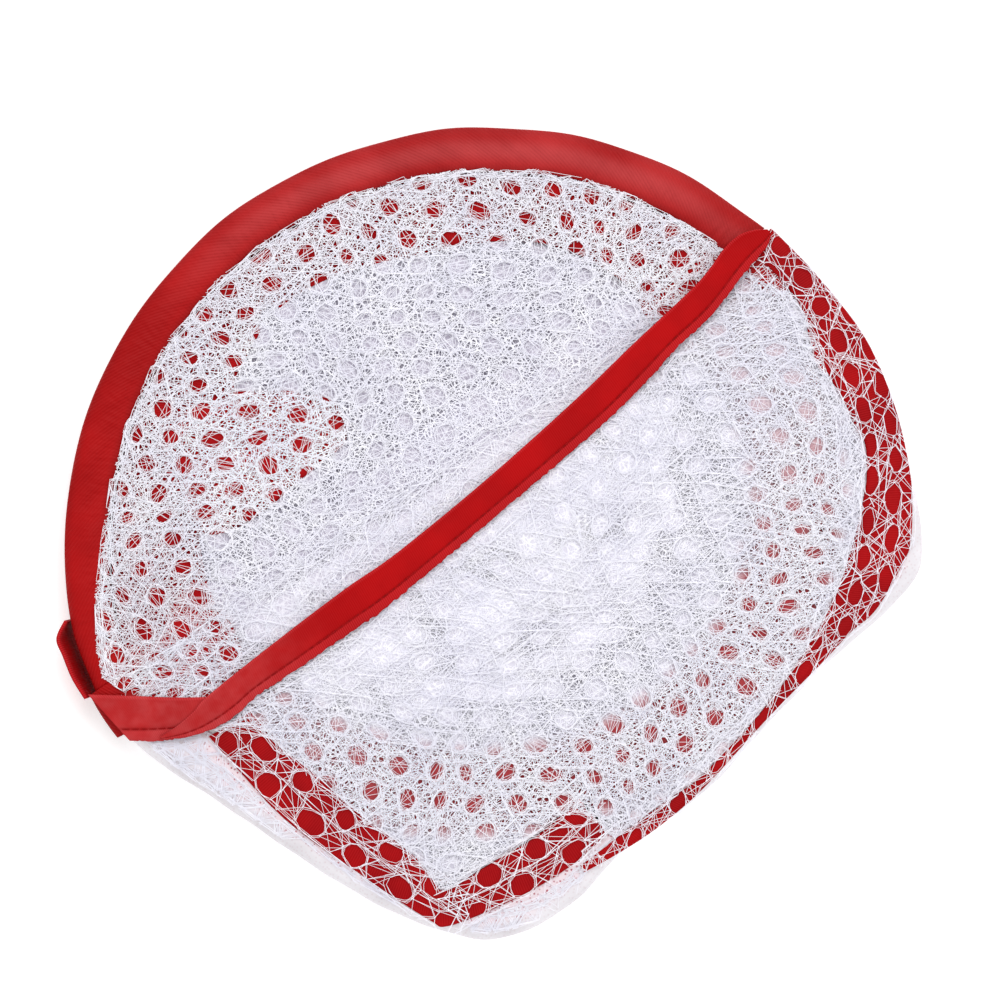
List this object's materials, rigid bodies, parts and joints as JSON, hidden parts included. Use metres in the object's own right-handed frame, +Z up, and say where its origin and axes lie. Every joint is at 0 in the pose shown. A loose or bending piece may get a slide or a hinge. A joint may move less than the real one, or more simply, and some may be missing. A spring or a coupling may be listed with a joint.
{
  "type": "pop-up goal net",
  "caption": "Twist-folded pop-up goal net: a sprung wire hoop in a sewn casing, wound flat, with its folded mesh panels, hem tapes and ground tape.",
  "frame": {"origin": "centre of the pack's outline, on the flat underside that it rests on", "axes": "+Z up out of the pack, +X along its longest extent, +Y towards the middle of the bare casing's arc"},
  "size_m": [0.2604, 0.2442, 0.0185],
  "materials": {
    "casing": "woven polyester, satin",
    "tape": "ribbed polyester tape, satin",
    "net": "knitted mesh of fine threads",
    "wire": "drawn spring wire",
    "ferrule": "crimped sleeve"
  },
  "bodies": {
    "bundle": {"base_net": "net", "lower_net": "net", "lower_casing": "casing", "lower_wire": "wire", "wire_ferrule": "ferrule", "rising_casing": "casing", "rising_wire": "wire", "inner_casing": "casing", "inner_wire": "wire", "outer_casing": "casing", "outer_wire": "wire", "packed_net": "net", "right_hem_tape": "tape", "front_hem_tape": "tape", "front_net": "net", "ground_tape": "tape", "keeper_ribbon": "tape"},
    "middle_leaf": {"middle_casing": "casing", "middle_wire": "wire", "middle_net": "net"},
    "top_leaf": {"top_casing": "casing", "top_wire": "wire", "top_net": "net"}
  },
  "joints": [
    {"name": "top_leaf_lift", "type": "hinge", "parent": "bundle", "child": "top_leaf", "pos_m": [-0.019, 0.0216, 0.01496], "axis": [0.8231, 0.5678, 0], "range_deg": [0, 35]},
    {"name": "middle_leaf_lift", "type": "hinge", "parent": "bundle", "child": "middle_leaf", "pos_m": [-0.019, 0.0216, 0.01013], "axis": [0.8231, 0.5678, 0], "range_deg": [0, 17.5]}
  ],
  "couplings": [
    {"joint": "middle_leaf_lift", "follows": "top_leaf_lift", "ratio": 0.5}
  ]
}
